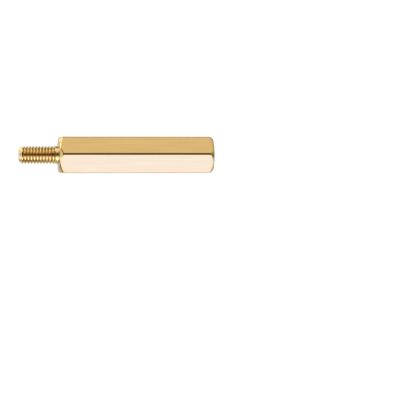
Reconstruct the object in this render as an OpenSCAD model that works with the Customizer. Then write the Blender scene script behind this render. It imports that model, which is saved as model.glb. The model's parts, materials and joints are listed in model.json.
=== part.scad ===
// Male-female hex standoff, turned in one piece from hexagonal brass bar.
// It lies on one of its flats with its axis along X. The origin is on the axis, in the plane of the
// shoulder: the stud points to -X and the tapped end of the body faces +X. Millimetres.

/* [Hex body] */
// Length of the body, from the shoulder to the tapped end
body_length = 25; // [14:0.5:60]
// Distance across two opposite flats
across_flats = 5.75; // [5:0.05:8]
// Width of the narrow land turned on each of the six long corners
corner_land = 0.32; // [0.1:0.02:0.6]
// How far the shoulder's chamfer reaches in from the middle of a flat
shoulder_chamfer = 0.2; // [0.1:0.05:0.5]
// How far the tapped end's chamfer reaches in from the middle of a flat
end_chamfer = 0.3; // [0.1:0.05:0.5]

/* [Thread] */
// Nominal diameter of the thread, on the stud and in the body
thread_d = 3; // [2:0.1:3.5]
// Pitch of the thread, which sets the tapping drill
thread_pitch = 0.5; // [0.35:0.05:0.6]

/* [Stud] */
// Length of the stud, from the shoulder to its tip
stud_length = 6.4; // [3:0.1:20]
// Chamfer on the tip of the stud
tip_chamfer = 0.5; // [0.2:0.05:0.6]

/* [Tapped hole] */
// Depth of the hole at its full diameter
hole_depth = 10; // [3:0.5:12]
// Angle of the drill's point
drill_point_angle = 118; // [90:1:140]
// Radial margin of the countersink over the thread
countersink_margin = 0.15; // [0.05:0.05:0.3]

/* [Hidden] */

brass = [0.86, 0.71, 0.43];
round_faces = 96;
overshoot = 0.5;

flats = 6;
corner_step = 360 / flats;
sharp_corner_r = across_flats / 2 / cos(corner_step / 2);
land_chord_r = sharp_corner_r - corner_land / 2 * tan(corner_step / 2);
// The radius that the corners are turned to, which leaves each land its width
corner_r = norm([land_chord_r, corner_land / 2]);
shoulder_face_r = across_flats / 2 - shoulder_chamfer;
end_face_r = across_flats / 2 - end_chamfer;

thread_r = thread_d / 2;
drill_r = (thread_d - thread_pitch) / 2;
drill_point = drill_r / tan(drill_point_angle / 2);
mouth_r = thread_r + countersink_margin;

// The bar's section: a hexagon with its corners turned down to one circle
module bar_section() {
    intersection() {
        rotate(corner_step / 2)
            circle(r = sharp_corner_r, $fn = flats);
        circle(r = corner_r, $fn = round_faces);
    }
}

// The turned envelope that cuts a 45 degree chamfer on both ends of the bar
module end_chamfers() {
    rotate_extrude($fn = round_faces)
        polygon([
            [0, 0],
            [shoulder_face_r, 0],
            [corner_r + overshoot, corner_r + overshoot - shoulder_face_r],
            [corner_r + overshoot, body_length - (corner_r + overshoot - end_face_r)],
            [end_face_r, body_length],
            [0, body_length]
        ]);
}

module hex_body() {
    intersection() {
        linear_extrude(body_length) bar_section();
        end_chamfers();
    }
}

// The stud at its nominal diameter, running on into the body
module stud() {
    rotate_extrude($fn = round_faces)
        polygon([
            [0, -stud_length],
            [thread_r - tip_chamfer, -stud_length],
            [thread_r, tip_chamfer - stud_length],
            [thread_r, overshoot],
            [0, overshoot]
        ]);
}

// The tapping-size hole, from its drill point to its 90 degree countersink
module tapped_hole() {
    hole_floor = body_length - hole_depth;
    rotate_extrude($fn = round_faces)
        polygon([
            [0, hole_floor - drill_point],
            [drill_r, hole_floor],
            [drill_r, body_length - (mouth_r - drill_r)],
            [mouth_r + overshoot, body_length + overshoot],
            [0, body_length + overshoot]
        ]);
}

module standoff() {
    color(brass)
        rotate([0, 90, 0])
            difference() {
                union() {
                    hex_body();
                    stud();
                }
                tapped_hole();
            }
}

standoff();
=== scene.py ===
# Brass hex standoff lying on one of its flats, on a white table.
# The solid model gives the sizes and places. This script makes the finished surface around it: the cut
# threads, the eased edges, the drawn and turned brass, and then the table, the lights and the camera.
import json
import math
import bpy
from mathutils import Matrix, Vector


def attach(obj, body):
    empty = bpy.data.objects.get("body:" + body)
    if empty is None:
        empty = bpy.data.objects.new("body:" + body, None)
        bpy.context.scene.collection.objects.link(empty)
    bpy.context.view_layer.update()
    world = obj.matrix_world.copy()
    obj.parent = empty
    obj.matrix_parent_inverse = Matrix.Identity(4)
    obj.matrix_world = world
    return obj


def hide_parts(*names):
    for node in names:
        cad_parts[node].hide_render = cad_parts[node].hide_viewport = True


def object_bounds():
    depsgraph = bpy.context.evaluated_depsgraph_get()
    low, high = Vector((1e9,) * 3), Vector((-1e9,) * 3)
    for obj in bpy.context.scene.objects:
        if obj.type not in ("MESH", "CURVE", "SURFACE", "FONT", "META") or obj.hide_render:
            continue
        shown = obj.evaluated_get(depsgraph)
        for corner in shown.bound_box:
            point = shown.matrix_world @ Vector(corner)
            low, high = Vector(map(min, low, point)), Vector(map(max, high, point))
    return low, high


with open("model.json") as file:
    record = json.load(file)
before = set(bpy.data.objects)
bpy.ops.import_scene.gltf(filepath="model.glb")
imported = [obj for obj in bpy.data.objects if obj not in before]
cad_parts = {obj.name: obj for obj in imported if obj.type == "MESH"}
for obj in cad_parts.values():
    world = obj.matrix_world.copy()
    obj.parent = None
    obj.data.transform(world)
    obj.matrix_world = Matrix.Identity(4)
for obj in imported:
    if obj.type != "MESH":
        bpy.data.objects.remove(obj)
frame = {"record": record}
cadLow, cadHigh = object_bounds()
mounts = {mount["name"]: mount for mount in frame["record"]["mounts"]}
mm = 0.001
turn = 2 * math.pi
print("frame loaded, solid box in mm:", [round(v / mm, 3) for v in (*cadLow, *cadHigh)])

standoff = {
    "creaseRadius": 0.08 * mm,       # where the six corner lands meet the flats
    "shoulderChamfer": 0.2 * mm,     # in from the middle of a flat
    "endChamfer": 0.3 * mm,
    "edgeRadius": 0.05 * mm,         # softness of the turned edges
    "shoulderCrease": 0.35 * mm,     # where the flats and lands round off into the shoulder's chamfer
    "endEdgeRadius": 0.22 * mm,      # where the end chamfer meets the end face
    "shoulderFillet": 0.08 * mm,     # at the root of the stud
    "crestDiameter": 2.94 * mm,      # over the stud's thread
    "threadDepth": 0.28 * mm,        # from crest to root
    "pitch": 0.5 * mm,
    "crestWidth": 0.22,              # share of the pitch
    "rootWidth": 0.13,
    "crestEase": 0.07,               # share of the depth over which crests and roots round off
    "crestAt": 0.377 * mm,           # where a crest crosses the +Y side of the stud
    "runOut": 0.5 * mm,              # where the last groove fades away
    "plainLength": 0.3 * mm,        # uncut, beside the shoulder
    "tipFace": 2.0 * mm,             # diameter of the flat face on the tip
    "tipEdge": 0.1 * mm,
    "tipRound": 0.12 * mm,           # where the tip's chamfer meets the thread
    "mouthMargin": 0.15 * mm,        # countersink over the thread
    "tappedLength": 8.0 * mm,
    "tapLead": 1.0 * mm,             # where the tap's last grooves fade away
    "tapDepth": 0.25 * mm,
    "tapCrestAt": 0.1 * mm,
    "drillPointAngle": 118,
}
finishes = ["drawn", "turned", "thread", "bore"]
closest = 0.01 * mm                  # rings and rows of corners come no nearer to each other
threadSteps = 18                     # rows of corners in one pitch
flatColumns = 12                     # strips across each flat


class Skin:
    # columns of corners run along the bar and rings run round it; each ring is stitched to the one before
    def __init__(self, section):
        self.angles = [angle for angle, _ in section]
        self.land = [r > cadHigh.y * 0.9985 for _, r in section]     # which columns are on a turned land
        self.corners = []
        self.groove = []                                             # how deep in a groove each corner is
        self.faces = []
        self.finish = []

    def corner(self, x, r, angle, groove=0.0):
        self.corners.append((x, r * math.cos(angle), r * math.sin(angle)))
        self.groove.append(groove)
        return len(self.corners) - 1

    def ring(self, x, r):
        return [self.corner(x, r, angle) for angle in self.angles]

    def face(self, ids, finish):
        ids = [v for i, v in enumerate(ids) if v != ids[i - 1]]
        if len(ids) > 2:
            self.faces.append(ids)
            self.finish.append(finishes.index(finish))

    def stitch(self, a, b, finish, landFinish=None):
        for j in range(len(a)):
            onLand = landFinish and self.land[j - 1] and self.land[j]
            self.face([a[j - 1], a[j], b[j], b[j - 1]], landFinish if onLand else finish)

    def close(self, x, ring, finish, last):
        tip = self.corner(x, 0, 0)
        for j in range(len(ring)):
            self.face([ring[j - 1], ring[j], tip] if last else [tip, ring[j], ring[j - 1]], finish)


roundSteps = 4                       # sides to one rounded edge
roundPoints = roundSteps + 3         # points that a rounded edge puts in a path


def rounded(path, radii, steps=roundSteps):
    # the path with its inner corners rounded, and a point beside each round that keeps the flats flat
    out = [Vector(path[0])]
    for before, here, after, radius in zip(path, path[1:], path[2:], radii):
        corner = Vector(here)
        back = (Vector(before) - corner).normalized()
        ahead = (Vector(after) - corner).normalized()
        half = back.angle(ahead) / 2
        centre = corner + (back + ahead).normalized() * radius / math.sin(half)
        first = corner + back * radius / math.tan(half)
        last = corner + ahead * radius / math.tan(half)
        sweep = math.pi - 2 * half
        out.append(first + back * radius * 0.3)
        for step in range(steps + 1):
            part = sweep * step / steps
            spoke = (first - centre) * math.sin(sweep - part) + (last - centre) * math.sin(part)
            out.append(centre + spoke.normalized() * radius)
        out.append(last + ahead * radius * 0.3)
    out.append(Vector(path[-1]))
    return out


def barSection():
    # the hexagon with its six turned lands, as (angle, radius) columns; two flats face up and down
    landR = cadHigh.y
    half = math.radians(30) - math.acos(cadHigh.z / landR)
    lands = []
    for number in range(6):
        middle = number * turn / 6
        first = Vector((landR * math.cos(middle - half), landR * math.sin(middle - half)))
        last = Vector((landR * math.cos(middle + half), landR * math.sin(middle + half)))
        ahead = Vector((math.cos(middle + turn / 3), math.sin(middle + turn / 3))) * mm
        back = Vector((math.cos(middle - turn / 3), math.sin(middle - turn / 3))) * mm
        eased = rounded([first + back, first, last, last + ahead], [standoff["creaseRadius"]] * 2, 3)[1:-1]
        top = Vector((landR * math.cos(middle), landR * math.sin(middle)))
        lands.append(eased[:6] + [top] + eased[6:])
    outline = []
    for land, following in zip(lands, lands[1:] + lands[:1]):
        outline += land
        outline += [land[-1].lerp(following[0], step / flatColumns) for step in range(1, flatColumns)]
    return sorted((math.atan2(p.y, p.x) % turn, p.length) for p in outline)


def smooth(share):
    share = min(max(share, 0.0), 1.0)
    return share * share * (3 - 2 * share)


def threadForm(u):
    # height of the thread at a share of its pitch: 0 in the root, 1 on the crest at 0.5, straight between
    fromCrest = abs(u % 1.0 - 0.5) - standoff["crestWidth"] / 2
    height = 1 - fromCrest / (0.5 - standoff["crestWidth"] / 2 - standoff["rootWidth"] / 2)
    ease = standoff["crestEase"]
    if height < ease:
        return (max(height, -ease) + ease) ** 2 / (4 * ease)
    if height > 1 - ease:
        return 1 - (max(1 - height, -ease) + ease) ** 2 / (4 * ease)
    return height


def cutThread(skin, low, high, crestAt, profile, finish, inside=False):
    # rows of corners that follow a right-hand helix from x = low to x = high; gives back the two end rings
    pitch = standoff["pitch"]
    start = crestAt - (math.ceil((crestAt - low) / pitch) + 1.5) * pitch
    rows = [row / threadSteps for row in range((int((high - start) / pitch) + 2) * threadSteps)]
    columns = []
    for angle in skin.angles:
        twist = angle / turn
        ends = []
        for x in (low, high):
            r, _ = profile(x, (x - start) / pitch - twist)
            ends.append(skin.corner(x, r, angle))
        column = [ends[0]]
        for row in rows:
            x = start + pitch * (row + twist)
            if x < low + closest:
                column.append(ends[0])
            elif x > high - closest:
                column.append(ends[1])
            else:
                r, groove = profile(x, row)
                column.append(skin.corner(x, r, angle, groove))
        columns.append(column + [ends[1]])
    last = len(rows) + 1
    for j in range(len(columns)):
        shift = threadSteps if j == 0 else 0         # one pitch further on where the columns meet again
        for k in range(last):
            ids = [columns[j - 1][k], columns[j][min(k + shift, last)],
                   columns[j][min(k + 1 + shift, last)], columns[j - 1][k + 1]]
            skin.face(ids[::-1] if inside else ids, finish)
    return [column[0] for column in columns], [column[-1] for column in columns]


def makeStud(skin):
    # from the face of the tip, along the thread, to the plain neck beside the shoulder
    crestR = standoff["crestDiameter"] / 2
    faceR = standoff["tipFace"] / 2
    soft = standoff["tipRound"]
    neck = -standoff["shoulderFillet"] - 2 * closest

    def profile(x, u):
        gap = crestR - faceR - (x - cadLow.x)        # how far the chamfer lies inside the crests
        outer = crestR - max(gap, 0) if abs(gap) > soft else crestR - (gap + soft) ** 2 / (4 * soft)
        fade = 1 - smooth((x + standoff["plainLength"] + standoff["runOut"]) / standoff["runOut"])
        r = min(outer, crestR - standoff["threadDepth"] * (1 - threadForm(u)) * fade)
        return r, (outer - r) / standoff["threadDepth"]

    path = [(cadLow.x, faceR * 0.5), (cadLow.x, faceR), (cadLow.x + mm, faceR + mm)]
    path = rounded(path, [standoff["tipEdge"]])[:-1]
    before = skin.ring(*path[0])
    skin.close(cadLow.x, before, "thread", False)
    for x, r in path[1:]:
        ring = skin.ring(x, r)
        skin.stitch(before, ring, "thread")
        before = ring
    first, last = cutThread(skin, path[-1].x + closest, neck, standoff["crestAt"], profile, "thread")
    skin.stitch(before, first, "thread")
    return last, neck


def makeBody(skin, section, before, neck):
    # the shoulder, the flats and the tapped end, as one path for each column
    crestR = standoff["crestDiameter"] / 2
    shoulderR = cadHigh.z - standoff["shoulderChamfer"]
    endR = cadHigh.z - standoff["endChamfer"]
    drillR = mounts["tapped_hole"]["dims"]["r_mm"] * mm
    mouthR = mounts["stud"]["dims"]["r_mm"] * mm + standoff["mouthMargin"]
    soft = standoff["edgeRadius"]
    endX = cadHigh.x
    paths = []
    for _, r in section:
        path = [(neck, crestR), (0, crestR), (0, shoulderR), (r - shoulderR, r), (endX - (r - endR), r),
                (endX, endR), (endX, mouthR), (endX - (mouthR - drillR), drillR)]
        radii = [standoff["shoulderFillet"], soft, standoff["shoulderCrease"], soft,
                 standoff["endEdgeRadius"], soft * 0.6]
        paths.append(rounded(path, radii)[1:-1])
    middle = roundSteps // 2 + 2                     # the drawn flats run from mid-round to mid-round
    flats = range(2 * roundPoints + middle, 3 * roundPoints + middle)
    for step in range(len(paths[0])):
        ring = [skin.corner(*path[step], angle) for path, angle in zip(paths, skin.angles)]
        skin.stitch(before, ring, "drawn" if step in flats else "turned", "turned")
        before = ring
    return before, paths[0][-1].x


def makeBore(skin, before, mouthX):
    # the countersink and the tapped thread, inwards from the mouth, then the plain hole and its point
    wall = mounts["tapped_hole"]
    drillR = wall["dims"]["r_mm"] * mm
    mouthR = mounts["stud"]["dims"]["r_mm"] * mm + standoff["mouthMargin"]
    low = cadHigh.x - standoff["tappedLength"]

    def profile(x, u):
        cut = threadForm(u) * smooth((x - low) / standoff["tapLead"])
        cone = mouthR - (cadHigh.x - x)
        return max(drillR + standoff["tapDepth"] * cut, cone), cut

    inner, outer = cutThread(skin, low, mouthX - closest, standoff["tapCrestAt"], profile, "bore", True)
    skin.stitch(before, outer, "turned")
    floorX = wall["pos_m"][0] - wall["dims"]["length_mm"] * mm
    bottom = skin.ring(floorX, drillR)
    skin.stitch(inner, bottom, "bore")
    point = drillR / math.tan(math.radians(standoff["drillPointAngle"] / 2))
    skin.close(floorX - point, bottom, "bore", True)


def buildStandoff():
    section = barSection()
    skin = Skin(section)
    neckRing, neck = makeStud(skin)
    mouthRing, mouthX = makeBody(skin, section, neckRing, neck)
    makeBore(skin, mouthRing, mouthX)
    mesh = bpy.data.meshes.new("standoffBrass")
    mesh.from_pydata(skin.corners, [], skin.faces)
    mesh.attributes.new("groove", "FLOAT", "POINT").data.foreach_set("value", skin.groove)
    mesh.polygons.foreach_set("material_index", skin.finish)
    mesh.polygons.foreach_set("use_smooth", [True] * len(mesh.polygons))
    mesh.update()
    mesh.set_sharp_from_angle(angle=math.radians(40))
    piece = bpy.data.objects.new("standoffBrass", mesh)
    bpy.context.scene.collection.objects.link(piece)
    return piece


brass = {
    "color": (0.86, 0.575, 0.22),
    "warmColor": (0.88, 0.56, 0.225),    # slow patches on the flats
    "drawnStreak": 0.05,             # how much the lines along the flats change the colour
    "turnedStreak": 0.06,
    "flatRoughness": 0.10,
    "turnedRoughness": 0.16,
    "threadColor": (0.95, 0.72, 0.32),
    "threadRoughness": 0.13,
    "rootShadeColor": (0.60, 0.36, 0.14),     # painted shade in the roots of the threads
    # painted shade: the brass inside the tapped hole is made darker
    "boreShadedColor": (0.50, 0.32, 0.12),
    "boreRoughness": 0.34,
    # grains to the metre; along the bar, then across it, or outwards from the axis where it is turned
    "drawnLines": (120, 9000, 9000),
    "slowPatches": (160, 500, 500),
    "turnedRings": (16000, 16000, 1),
    "smears": (900, 900, 900),
    "threadPatches": (2200, 2200, 2200),
    "threadRings": (24000, 24000, 1),
    "drawnRelief": 0.0015 * mm,
    "turnedRelief": 0.002 * mm,
}


def newMaterial(name):
    mat = bpy.data.materials.new(name)
    mat.use_nodes = True
    return mat, mat.node_tree, mat.node_tree.nodes["Principled BSDF"]


def feed(tree, socket, value):
    if isinstance(value, bpy.types.NodeSocket):
        tree.links.new(value, socket)
    else:
        socket.default_value = value


def calc(tree, operation, *values):
    # one sum; each value is a number or another node's output
    node = tree.nodes.new("ShaderNodeMath")
    node.operation = operation
    for socket, value in zip(node.inputs, values):
        feed(tree, socket, value)
    return node.outputs[0]


def remap(tree, value, fromLow, fromHigh, toLow, toHigh):
    node = tree.nodes.new("ShaderNodeMapRange")
    node.interpolation_type = "SMOOTHSTEP"
    for socket, number in zip(node.inputs, (value, fromLow, fromHigh, toLow, toHigh)):
        feed(tree, socket, number)
    return node.outputs[0]


def mixed(tree, share, first, second):
    # a number between two others
    node = tree.nodes.new("ShaderNodeMix")
    for socket, number in zip(node.inputs, (share, None, first, second)):
        if number is not None:
            feed(tree, socket, number)
    return node.outputs[0]


def grain(tree, place, across, detail=3.0):
    # fine noise; across is how many grains there are to the metre in each direction
    stretch = tree.nodes.new("ShaderNodeMapping")
    stretch.inputs["Scale"].default_value = across
    tree.links.new(place, stretch.inputs["Vector"])
    noise = tree.nodes.new("ShaderNodeTexNoise")
    noise.inputs["Scale"].default_value = 1.0
    noise.inputs["Detail"].default_value = detail
    tree.links.new(stretch.outputs[0], noise.inputs["Vector"])
    return noise.outputs[0]


def blend(tree, share, first, second):
    node = tree.nodes.new("ShaderNodeMix")
    node.data_type = "RGBA"
    feed(tree, node.inputs["Factor"], share)
    feed(tree, node.inputs[6], (*first, 1) if isinstance(first, tuple) else first)
    feed(tree, node.inputs[7], (*second, 1) if isinstance(second, tuple) else second)
    return node.outputs[2]


def shade(color, amount):
    return tuple(part * amount for part in color)


def places(tree):
    # the bar's own coordinates, and the same with distance from the axis in place of Y and Z
    coord = tree.nodes.new("ShaderNodeTexCoord").outputs["Object"]
    split = tree.nodes.new("ShaderNodeSeparateXYZ")
    tree.links.new(coord, split.inputs[0])
    ySquared = calc(tree, "POWER", split.outputs[1], 2.0)
    zSquared = calc(tree, "POWER", split.outputs[2], 2.0)
    out = calc(tree, "SQRT", calc(tree, "ADD", ySquared, zSquared))
    turned = tree.nodes.new("ShaderNodeCombineXYZ")
    tree.links.new(split.outputs[0], turned.inputs[0])
    tree.links.new(out, turned.inputs[1])
    return coord, turned.outputs[0]


def relief(tree, shader, height, distance):
    bump = tree.nodes.new("ShaderNodeBump")
    bump.inputs["Strength"].default_value = 1.0
    bump.inputs["Distance"].default_value = distance
    tree.links.new(height, bump.inputs["Height"])
    tree.links.new(bump.outputs[0], shader.inputs["Normal"])


def drawnBrass():
    # the flats: faint lines along the bar, from the drawing die, and slow patches of tone
    mat, tree, shader = newMaterial("drawnBrass")
    coord, _ = places(tree)
    lines = grain(tree, coord, brass["drawnLines"], 4.0)
    patches = grain(tree, coord, brass["slowPatches"], 2.0)
    streak = brass["drawnStreak"]
    tone = remap(tree, lines, 0.35, 0.65, 0.0, 1.0)
    color = blend(tree, tone, shade(brass["color"], 1 - streak), shade(brass["color"], 1 + streak))
    warm = blend(tree, remap(tree, patches, 0.4, 0.7, 0.0, 0.5), color, brass["warmColor"])
    feed(tree, shader.inputs["Base Color"], warm)
    rough = remap(tree, lines, 0.3, 0.7, brass["flatRoughness"] * 0.8, brass["flatRoughness"] * 1.5)
    feed(tree, shader.inputs["Roughness"], rough)
    shader.inputs["Metallic"].default_value = 1.0
    relief(tree, shader, lines, brass["drawnRelief"])
    return mat


def turnedBrass():
    # the chamfers, the shoulder, the end face and the lands: fine rings from the tool
    mat, tree, shader = newMaterial("turnedBrass")
    coord, turned = places(tree)
    rings = grain(tree, turned, brass["turnedRings"], 3.0)
    smears = grain(tree, coord, brass["smears"], 2.0)
    streak = brass["turnedStreak"]
    tone = remap(tree, rings, 0.35, 0.65, 0.0, 1.0)
    color = blend(tree, tone, shade(brass["color"], 1 - streak), shade(brass["color"], 1 + streak))
    feed(tree, shader.inputs["Base Color"], color)
    rough = remap(tree, rings, 0.3, 0.7, brass["turnedRoughness"] * 0.8, brass["turnedRoughness"] * 1.3)
    feed(tree, shader.inputs["Roughness"], calc(tree, "ADD", rough, calc(tree, "MULTIPLY", smears, 0.05)))
    shader.inputs["Metallic"].default_value = 1.0
    relief(tree, shader, rings, brass["turnedRelief"])
    return mat


def threadBrass(name, baseColor, roughness):
    # turned brass with painted shade that darkens it towards the roots, patchy along the helix
    mat, tree, shader = newMaterial(name)
    coord, turned = places(tree)
    groove = tree.nodes.new("ShaderNodeAttribute")
    groove.attribute_name = "groove"
    patches = grain(tree, coord, brass["threadPatches"], 3.0)
    rings = grain(tree, turned, brass["threadRings"], 2.0)
    uneven = calc(tree, "MULTIPLY", calc(tree, "SUBTRACT", patches, 0.5), 0.5)
    depth = calc(tree, "ADD", groove.outputs["Fac"], uneven)
    rootShadeMask = remap(tree, depth, 0.6, 1.1, 0.0, 1.0)
    tone = remap(tree, rings, 0.3, 0.7, 0.0, 1.0)
    color = blend(tree, tone, shade(baseColor, 0.94), shade(baseColor, 1.06))
    # painted shade: the colour turns darker into the roots of the thread
    feed(tree, shader.inputs["Base Color"], blend(tree, rootShadeMask, color, brass["rootShadeColor"]))
    rough = remap(tree, patches, 0.3, 0.7, roughness * 0.8, roughness * 1.2)
    feed(tree, shader.inputs["Roughness"], calc(tree, "ADD", rough, calc(tree, "MULTIPLY", rootShadeMask, 0.25)))
    shader.inputs["Metallic"].default_value = 1.0
    relief(tree, shader, rings, brass["turnedRelief"])
    return mat


piece = buildStandoff()
piece.data.materials.append(drawnBrass())                  # in the order of the finishes above
piece.data.materials.append(turnedBrass())
piece.data.materials.append(threadBrass("threadBrass", brass["threadColor"], brass["threadRoughness"]))
piece.data.materials.append(threadBrass("boreBrass", brass["boreShadedColor"], brass["boreRoughness"]))
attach(piece, "root")
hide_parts("standoff")
print("standoff built:", len(piece.data.vertices), "corners and",
      sum(len(face.vertices) - 2 for face in piece.data.polygons), "triangles")


table = {
    "size": 3.0,                 # metres
    "grey": 0.05,                # how much of the lamps' light and shadow shows on it
    "glow": 0.96,                # what it shows even in shadow
    "open": (1.2, 1.4, 1.9),     # painted light that the brass sees glowing on it, away from the patches
    # painted light and shadow that only the brass sees on it, darker or brighter: from and to along X,
    # from and to along Y, softness of the edge, all in mm, and the colour
    "patches": [
        (-60, 1, -200, -20, 1.5, (1.8, 1.8, 1.8)),           # painted light, far in front of the stud
        (-14, 0.5, -21.5, -3.4, 1.0, (0.12, 0.12, 0.12)),    # painted shadow, close in front of the stud
        (3, 27, -9, -4.4, 0.6, (1.15, 1.4, 2.6)),            # painted light, in front of the body
        (-500, 500, -3.6, 500, 1.0, (0.64, 0.66, 0.72)),     # painted shade, under the bar and behind it
        (27, 500, -2.4, 9, 1.5, (0.08, 0.08, 0.08)),         # painted shadow of the bar, past the tapped end
        # painted shadow of the bar, further past the tapped end
        (45, 500, -2.4, 16, 3.0, (0.08, 0.08, 0.08)),
        (-30, -5, 10, 26, 3.0, (1.9, 1.8, 1.8)),             # painted light, a brighter spot behind to the left
        (-4, 5, 17, 500, 2.0, (0.15, 0.15, 0.15)),           # painted shadow, further back behind the stud
    ],
}


def between(tree, value, low, high, soft):
    # 1 between two places in mm, and 0 beyond them
    rising = remap(tree, value, (low - soft) * mm, (low + soft) * mm, 0.0, 1.0)
    falling = remap(tree, value, (high - soft) * mm, (high + soft) * mm, 1.0, 0.0)
    return calc(tree, "MULTIPLY", rising, falling)


def cameraSees(tree, seen, others):
    # one shader for the camera, and another for everything that the brass reflects
    path = tree.nodes.new("ShaderNodeLightPath")
    pick = tree.nodes.new("ShaderNodeMixShader")
    tree.links.new(path.outputs["Is Camera Ray"], pick.inputs[0])
    tree.links.new(others.outputs[0], pick.inputs[1])
    tree.links.new(seen.outputs[0], pick.inputs[2])
    return pick.outputs[0]


def sheetWithPaintedReflections():
    # white for the camera; for the brass, a glow with painted light and shadow that changes from place to
    # place
    mat, tree, shader = newMaterial("whiteSheetPaintedReflections")
    tree.nodes.remove(shader)
    coord = tree.nodes.new("ShaderNodeTexCoord")
    split = tree.nodes.new("ShaderNodeSeparateXYZ")
    tree.links.new(coord.outputs["Object"], split.inputs[0])
    color = table["open"]
    for x1, x2, y1, y2, soft, paintedPatchColor in table["patches"]:
        across = between(tree, split.outputs[0], x1, x2, soft)
        along = between(tree, split.outputs[1], y1, y2, soft)
        color = blend(tree, calc(tree, "MULTIPLY", across, along), color, paintedPatchColor)
    # painted light and shadow: a glow that the brass sees, though the table is no lamp
    paintedReflectionGlow = tree.nodes.new("ShaderNodeEmission")
    tree.links.new(color, paintedReflectionGlow.inputs["Color"])
    lit = tree.nodes.new("ShaderNodeBsdfDiffuse")
    lit.inputs["Color"].default_value = (table["grey"], table["grey"], table["grey"], 1)
    glow = tree.nodes.new("ShaderNodeEmission")
    glow.inputs["Strength"].default_value = table["glow"]
    seen = tree.nodes.new("ShaderNodeAddShader")
    tree.links.new(lit.outputs[0], seen.inputs[0])
    tree.links.new(glow.outputs[0], seen.inputs[1])
    tree.links.new(cameraSees(tree, seen, paintedReflectionGlow), tree.nodes["Material Output"].inputs["Surface"])
    return mat


def buildTable():
    half = table["size"] / 2
    z = cadLow.z
    mesh = bpy.data.meshes.new("table")
    corners = [(-half, -half, z), (half, -half, z), (half, half, z), (-half, half, z)]
    mesh.from_pydata(corners, [], [(0, 1, 2, 3)])
    top = bpy.data.objects.new("table", mesh)
    bpy.context.scene.collection.objects.link(top)
    mesh.materials.append(sheetWithPaintedReflections())


# the surroundings that the brass reflects; the sweep is (angle, colour) from level in front, over
# the top, to level behind, with bluish daylight low in front
studio = {
    "sweep": [
        (0, (1.1, 1.41, 3.05)), (6, (1.1, 1.41, 3.05)), (11, (1.4, 1.6, 2.4)), (20, (1.35, 1.5, 1.8)),
        (33, (1.0, 1.0, 1.05)), (46, (0.28, 0.27, 0.25)), (56, (0.07, 0.06, 0.04)),
        (66, (0.07, 0.06, 0.04)), (76, (0.13, 0.11, 0.08)), (86, (0.36, 0.32, 0.28)),
        (98, (0.82, 0.76, 0.72)), (110, (0.92, 0.9, 0.9)), (123, (0.8, 0.8, 0.8)), (135, (1.1, 1.1, 1.1)),
        (147, (0.85, 0.85, 0.85)), (160, (0.25, 0.25, 0.25)), (172, (0.17, 0.17, 0.17)),
        (180, (0.17, 0.17, 0.17)),
    ],
    "ends": 0.85,                # level to the left and right
    "upLeft": 0.1,               # share of the sweep up to the left, over the stud
    "behindLeft": 4.0,           # the same low behind on the left, and behind on the right
    "behindRight": 0.4,
    "backdrop": 1.0,             # seen by the camera
    "front": (36, 35, 0.8, 0.5),         # watts, angle up from the table, distance and size in metres
    "overhead": (7, 90, 0.9, 1.0),
    "lampsAt": 10 * mm,          # along the bar
}


def sweepColor(tree, y, z):
    # the colour by angle round the bar, and how far it is scaled down to fit the ramp
    angle = calc(tree, "ARCTAN2", z, calc(tree, "MULTIPLY", y, -1.0))
    ramp = tree.nodes.new("ShaderNodeValToRGB")
    tree.links.new(calc(tree, "DIVIDE", angle, math.pi), ramp.inputs[0])
    peak = max(max(color) for _, color in studio["sweep"])
    stops = ramp.color_ramp.elements
    while len(stops) < len(studio["sweep"]):
        stops.new(0.5)
    for stop, (degrees, color) in zip(stops, studio["sweep"]):
        stop.position = degrees / 180
        stop.color = (*shade(color, 1 / peak), 1)
    return ramp.outputs[0], peak


def leftAndRight(tree, x, y, z):
    # how much brighter or darker the sweep is to either side; x, y and z are a direction's shares to the
    # right, to the back and up
    left = remap(tree, x, -0.5, -0.2, 1.0, 0.0)
    upLeft = calc(tree, "MULTIPLY", left, remap(tree, z, 0.15, 0.3, 0.0, 1.0))
    farLeft = remap(tree, x, -0.6, -0.2, 1.0, 0.0)
    lowLeft = calc(tree, "MULTIPLY", farLeft, remap(tree, z, 0.45, 0.62, 1.0, 0.0))
    behindLeft = mixed(tree, lowLeft, 1.0, studio["behindLeft"])
    behindRight = remap(tree, x, 0.2, 0.55, 1.0, studio["behindRight"])
    behind = remap(tree, y, 0.3, 0.55, 0.0, 1.0)
    return mixed(tree, behind, mixed(tree, upLeft, 1.0, studio["upLeft"]),
                 calc(tree, "MULTIPLY", behindLeft, behindRight))


def lightWorld():
    world = bpy.data.worlds.new("studio")
    bpy.context.scene.world = world
    world.use_nodes = True
    tree = world.node_tree
    tree.nodes.clear()
    coord = tree.nodes.new("ShaderNodeTexCoord")
    split = tree.nodes.new("ShaderNodeSeparateXYZ")
    tree.links.new(coord.outputs["Generated"], split.inputs[0])
    x, y, z = split.outputs
    color, peak = sweepColor(tree, y, z)
    level = calc(tree, "MULTIPLY", leftAndRight(tree, x, y, z), peak)
    side = remap(tree, calc(tree, "ABSOLUTE", x), 0.88, 0.95, 0.0, 1.0)
    end = calc(tree, "MULTIPLY", side, remap(tree, z, 0.2, 0.32, 1.0, 0.0))
    room = tree.nodes.new("ShaderNodeBackground")
    tree.links.new(blend(tree, end, color, (1.0, 1.0, 1.0)), room.inputs["Color"])
    tree.links.new(mixed(tree, end, level, studio["ends"]), room.inputs["Strength"])
    seen = tree.nodes.new("ShaderNodeBackground")
    seen.inputs["Strength"].default_value = studio["backdrop"]
    out = tree.nodes.new("ShaderNodeOutputWorld")
    tree.links.new(cameraSees(tree, seen, room), out.inputs["Surface"])


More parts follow.
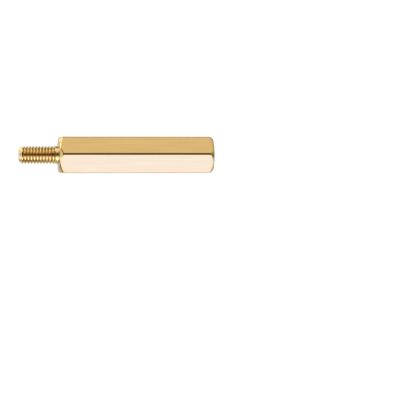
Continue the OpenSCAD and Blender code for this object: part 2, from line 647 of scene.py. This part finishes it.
def softbox(name, watts, degrees, distance, size):
    # lights the table only; the brass sees the surroundings above instead
    light = bpy.data.lights.new(name, "AREA")
    light.shape = "SQUARE"
    light.size = size
    light.energy = watts
    lamp = bpy.data.objects.new(name, light)
    rise = math.radians(degrees)
    lamp.location = (studio["lampsAt"], -math.cos(rise) * distance, math.sin(rise) * distance)
    lamp.rotation_euler = (math.pi / 2 - rise, 0, 0)
    lamp.visible_glossy = False
    lamp.visible_camera = False
    bpy.context.scene.collection.objects.link(lamp)


# where the camera stands round the bar, and where the bar sits in its picture
camera = {
    "elevation": 56.7,           # degrees above the table
    "turnToStud": 6.0,           # degrees
    "distance": 600 * mm,
    "viewWidth": 64.5 * mm,
    "sensor": 36.0,              # lens units
    "aimRight": 10.36 * mm,
    "aimDown": 7.25 * mm,
}


def placeCamera():
    rise = math.radians(camera["elevation"])
    swing = math.radians(camera["turnToStud"])
    level = math.cos(swing)
    toCamera = Vector((-math.sin(swing), -level * math.cos(rise), level * math.sin(rise)))
    bar = Vector((1, 0, 0))
    middle = Vector((cadHigh.x / 2, 0, 0))
    place = middle + toCamera * camera["distance"]
    right = (bar - bar.dot(toCamera) * toCamera).normalized()
    aim = middle + right * camera["aimRight"] - toCamera.cross(right) * camera["aimDown"]
    back = (place - aim).normalized()
    across = bar.cross(toCamera).cross(back).normalized()      # keeps the bar's axis level in the picture
    across = across if across.dot(bar) > 0 else -across
    lens = bpy.data.cameras.new("camera")
    lens.sensor_width = camera["sensor"]
    lens.lens = camera["sensor"] * camera["distance"] / camera["viewWidth"]
    cam = bpy.data.objects.new("camera", lens)
    facing = Matrix((across, back.cross(across), back)).transposed().to_4x4()
    cam.matrix_world = Matrix.Translation(place) @ facing
    bpy.context.scene.collection.objects.link(cam)
    bpy.context.scene.camera = cam


buildTable()
lightWorld()
softbox("frontLight", *studio["front"])
softbox("overheadLight", *studio["overhead"])
placeCamera()
bpy.context.scene.cycles.caustics_reflective = False       # no brass-coloured glow on the table
bpy.context.scene.view_settings.view_transform = "Standard"
print("table, lights and camera set")
